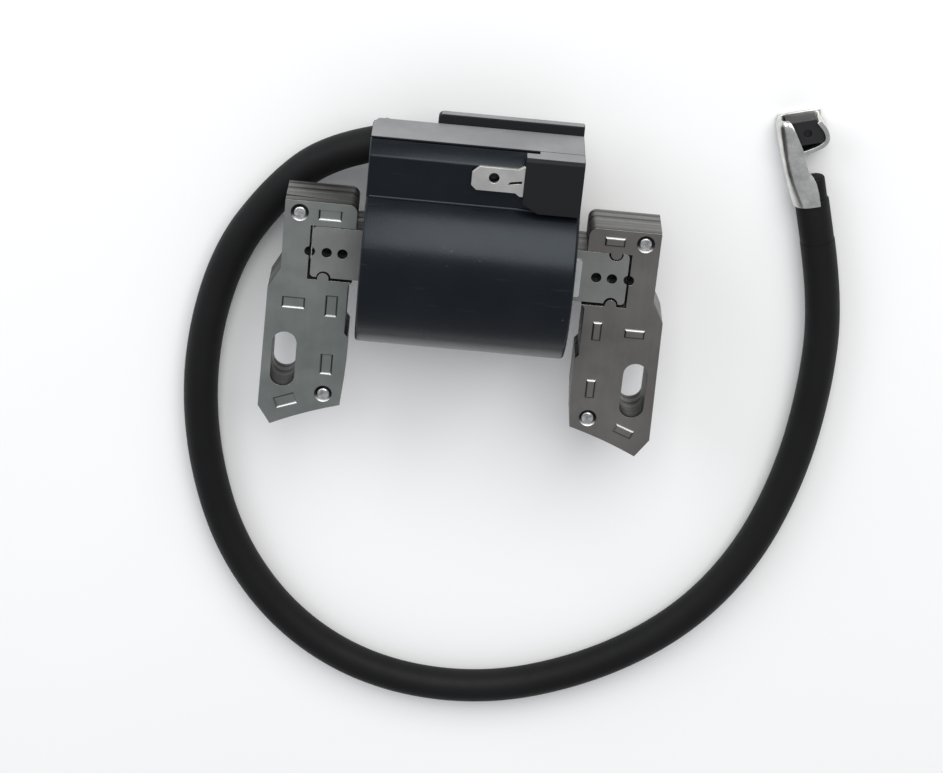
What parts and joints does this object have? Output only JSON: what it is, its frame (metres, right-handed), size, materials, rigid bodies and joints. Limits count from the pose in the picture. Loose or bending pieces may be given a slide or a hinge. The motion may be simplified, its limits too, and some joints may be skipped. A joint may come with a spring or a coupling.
{
  "type": "ignition coil",
  "caption": "Flywheel ignition coil with two laminated steel legs, a round moulded coil body, a blade stop terminal and a high-tension lead that ends in a plug terminal.",
  "frame": {"origin": "on the surface that the coil lies on, under the middle of the coil's box without its lead", "axes": "+X along the core from the lead's end to the right leg, +Y from the pole tips to the circuit box, +Z out of the front of the legs, up from the surface"},
  "size_m": [0.132, 0.1401, 0.0368],
  "materials": {
    "silicon_steel": "satin",
    "rivet_steel": "satin",
    "spring_steel": "satin",
    "black_moulding": "satin",
    "grey_black_cover": "matte",
    "tinned_brass": "satin",
    "bobbin_nylon": "matte",
    "enamelled_copper": "gloss",
    "insulating_film": "gloss",
    "fine_copper": "satin",
    "potting_resin": "matte",
    "board_laminate": "satin",
    "component_black": "matte",
    "component_tan": "gloss",
    "contact_brass": "satin",
    "lead_rubber": "matte",
    "zinc_plate": "satin",
    "insert_black": "matte"
  },
  "bodies": {
    "root": {"core_laminations": "silicon_steel", "left_leg_laminations": "silicon_steel", "right_leg_laminations": "silicon_steel", "left_leg_rivets": "rivet_steel", "right_leg_rivets": "rivet_steel", "core_retaining_wedge": "spring_steel", "coil_housing": "black_moulding", "top_cover": "grey_black_cover", "rear_cover": "black_moulding", "terminal_block": "black_moulding", "stop_terminal": "tinned_brass", "primary_bobbin": "bobbin_nylon", "primary_winding": "enamelled_copper", "winding_insulation": "insulating_film", "secondary_bobbin": "bobbin_nylon", "secondary_winding": "fine_copper", "potting_compound": "potting_resin", "circuit_board": "board_laminate", "switching_transistor": "component_black", "bias_resistor": "component_tan", "timing_capacitor": "component_tan", "blocking_diode": "component_black", "ground_strap": "tinned_brass", "high_tension_contact": "contact_brass", "lead_inner_end": "lead_rubber", "lead_conductor": "contact_brass", "lead_seal": "potting_resin", "plug_lead": "lead_rubber", "lead_crimped_end": "lead_rubber", "plug_terminal_shell": "zinc_plate", "plug_terminal_insert": "insert_black"}
  },
  "joints": []
}
